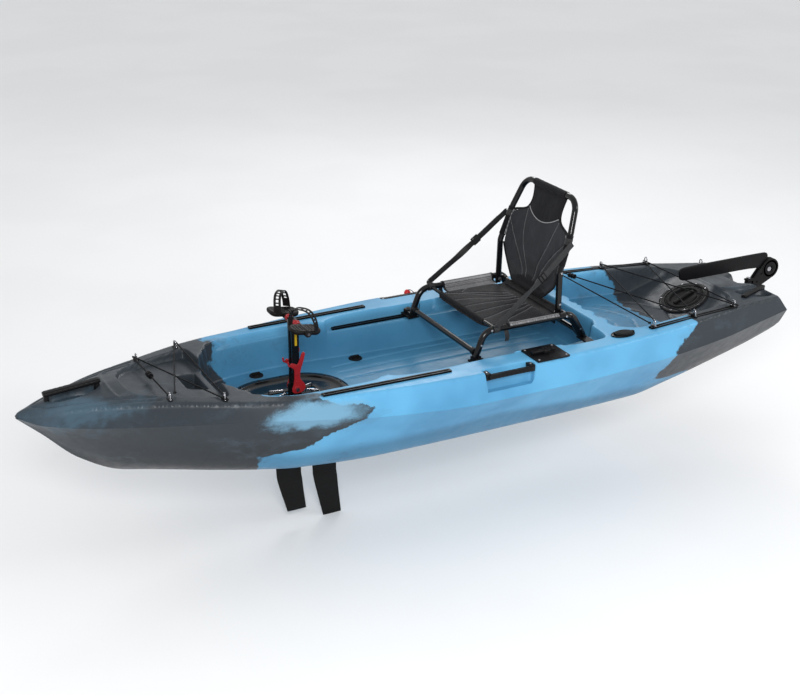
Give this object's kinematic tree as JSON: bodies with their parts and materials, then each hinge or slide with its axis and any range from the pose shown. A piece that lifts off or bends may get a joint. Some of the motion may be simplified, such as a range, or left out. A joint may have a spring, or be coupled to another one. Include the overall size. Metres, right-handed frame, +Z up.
{
  "type": "pedal drive fishing kayak",
  "caption": "Sit-on-top pedal kayak: moulded hull and deck, framed folding seat, swinging pedal arms driving two fins, lifting rudder, hatch, gear tracks, handles and elastic lacing.",
  "frame": {"origin": "flat of the hull bottom, amidships, on the centre line", "axes": "+X towards the bow, +Y to port, +Z up"},
  "size_m": [3.353, 0.9326, 1.219],
  "materials": {
    "hull": "light blue polyethylene marbled with slate grey at both ends, soft sheen",
    "black_plastic": "moulded, fine grain",
    "gloss_black": "polished",
    "track": "black anodised, satin",
    "chrome": "polished stainless",
    "steel": "brushed",
    "grey_metal": "satin grey",
    "cord": "braided elastic cord",
    "red_plastic": "smooth",
    "rubber": "matt",
    "black_metal": "black anodised, satin",
    "red_metal": "red anodised, satin",
    "pedal": "ribbed tread",
    "fin": "ribbed flexible blade",
    "seat_tube": "gloss black powder coat",
    "seat_fabric": "woven polyester, padded",
    "webbing": "flat woven strap"
  },
  "bodies": {
    "root": {"hull_shell": "hull", "deck_shell": "hull", "bow_handle": "black_plastic", "stern_handle": "black_plastic", "side_handles": "black_plastic", "front_tracks": "track", "rear_tracks": "track", "seat_rails": "track", "pad_eyes": "chrome", "track_eyes": "chrome", "bow_cord": "cord", "tank_cord": "cord", "cord_locks": "black_plastic", "toggle_line": "cord", "toggle_ball": "red_plastic", "rod_holders": "black_plastic", "scupper_plugs": "rubber", "hatch_ring": "black_plastic", "hatch_screws": "chrome", "drive_plate": "gloss_black", "drive_spine": "black_plastic", "crank_shaft": "steel", "rudder_bracket": "grey_metal", "rudder_pintle": "steel", "steering_plate": "black_plastic"},
    "hatch_cover": {"hatch_lid": "black_plastic"},
    "cap_port": {"rod_cap_port": "rubber"},
    "cap_starboard": {"rod_cap_starboard": "rubber"},
    "arm_port": {"pedal_arm_port": "black_metal", "crank_bracket_port": "red_metal", "pedal_axle_port": "red_metal"},
    "arm_starboard": {"pedal_arm_starboard": "black_metal", "crank_bracket_starboard": "red_metal", "pedal_axle_starboard": "red_metal"},
    "foot_port": {"pedal_port": "pedal", "pedal_strap_port": "rubber"},
    "foot_starboard": {"pedal_starboard": "pedal", "pedal_strap_starboard": "rubber"},
    "fore_fin": {"fin_mast_fore": "steel", "fin_fore": "fin"},
    "aft_fin": {"fin_mast_aft": "steel", "fin_aft": "fin"},
    "rudder": {"rudder_head": "black_plastic", "rudder_bolt": "steel"},
    "blade": {"rudder_blade": "black_plastic"},
    "lever": {"steering_lever": "black_plastic"},
    "seat": {"seat_side_tubes": "seat_tube", "seat_cross_tubes": "seat_tube", "seat_front_feet": "black_plastic", "seat_rear_feet": "black_plastic", "seat_base_fabric": "seat_fabric", "seat_rear_panel": "seat_fabric", "seat_pivot_bolts": "steel", "seat_strap_port": "webbing", "seat_strap_starboard": "webbing", "strap_buckles": "black_plastic"},
    "seat_back": {"seat_back_frame": "seat_tube", "seat_back_fabric": "seat_fabric"},
    "knob_port": {"seat_knob_port": "black_plastic"},
    "knob_starboard": {"seat_knob_starboard": "black_plastic"}
  },
  "joints": [
    {"name": "hatch_twist", "type": "hinge", "parent": "root", "child": "hatch_cover", "pos_m": [-1.25, 0, 0.281], "axis": [0.3746, 0, 0.9272], "range_deg": [0, 60]},
    {"name": "cap_port_open", "type": "hinge", "parent": "root", "child": "cap_port", "pos_m": [-0.6355, 0.354, 0.3566], "axis": [0, 1, 0], "range_deg": [0, 165]},
    {"name": "cap_starboard_open", "type": "hinge", "parent": "root", "child": "cap_starboard", "pos_m": [-0.6355, -0.354, 0.3566], "axis": [0, 1, 0], "range_deg": [0, 165]},
    {"name": "arm_port_swing", "type": "hinge", "parent": "root", "child": "arm_port", "pos_m": [0.567, 0, 0.232], "axis": [0, 1, 0], "range_deg": [-28, 28]},
    {"name": "arm_starboard_swing", "type": "hinge", "parent": "root", "child": "arm_starboard", "pos_m": [0.567, 0, 0.232], "axis": [0, 1, 0], "range_deg": [-28, 28]},
    {"name": "foot_port_tilt", "type": "hinge", "parent": "arm_port", "child": "foot_port", "pos_m": [0.567, 0, 0.497], "axis": [0, 1, 0], "range_deg": [-40, 50]},
    {"name": "foot_starboard_tilt", "type": "hinge", "parent": "arm_starboard", "child": "foot_starboard", "pos_m": [0.567, 0, 0.497], "axis": [0, 1, 0], "range_deg": [-40, 50]},
    {"name": "fore_fin_swing", "type": "hinge", "parent": "root", "child": "fore_fin", "pos_m": [0.616, 0, -0.014], "axis": [1, 0, 0], "range_deg": [-78.5, 78.5]},
    {"name": "aft_fin_swing", "type": "hinge", "parent": "root", "child": "aft_fin", "pos_m": [0.466, 0, -0.014], "axis": [1, 0, 0], "range_deg": [-78.5, 78.5]},
    {"name": "rudder_yaw", "type": "hinge", "parent": "root", "child": "rudder", "pos_m": [-1.598, 0, 0.283], "axis": [0, 0, 1], "range_deg": [-30, 30]},
    {"name": "rudder_flip", "type": "hinge", "parent": "rudder", "child": "blade", "pos_m": [-1.697, 0, 0.349], "axis": [0, 1, 0], "range_deg": [-262, 0]},
    {"name": "steering_swing", "type": "hinge", "parent": "root", "child": "lever", "pos_m": [-0.298, 0.381, 0.353], "axis": [0, 0, 1], "range_deg": [-40, 40]},
    {"name": "seat_slide", "type": "slide", "parent": "root", "child": "seat", "axis": [1, 0, 0], "range_m": [0, 0.1]},
    {"name": "seat_back_fold", "type": "hinge", "parent": "seat", "child": "seat_back", "pos_m": [-0.45, 0, 0.43], "axis": [0, 1, 0], "range_deg": [0, 72], "deforming": ["seat_strap_port", "seat_strap_starboard"]},
    {"name": "knob_port_turn", "type": "hinge", "parent": "seat", "child": "knob_port", "pos_m": [-0.066, 0.296, 0.32], "axis": [0, 0, 1], "continuous": true},
    {"name": "knob_starboard_turn", "type": "hinge", "parent": "seat", "child": "knob_starboard", "pos_m": [-0.066, -0.296, 0.32], "axis": [0, 0, 1], "continuous": true}
  ],
  "couplings": [
    {"joint": "arm_starboard_swing", "follows": "arm_port_swing", "ratio": -1},
    {"joint": "fore_fin_swing", "follows": "arm_port_swing", "ratio": 2.8},
    {"joint": "aft_fin_swing", "follows": "arm_port_swing", "ratio": -2.8},
    {"joint": "steering_swing", "follows": "rudder_yaw", "ratio": -1.333}
  ]
}
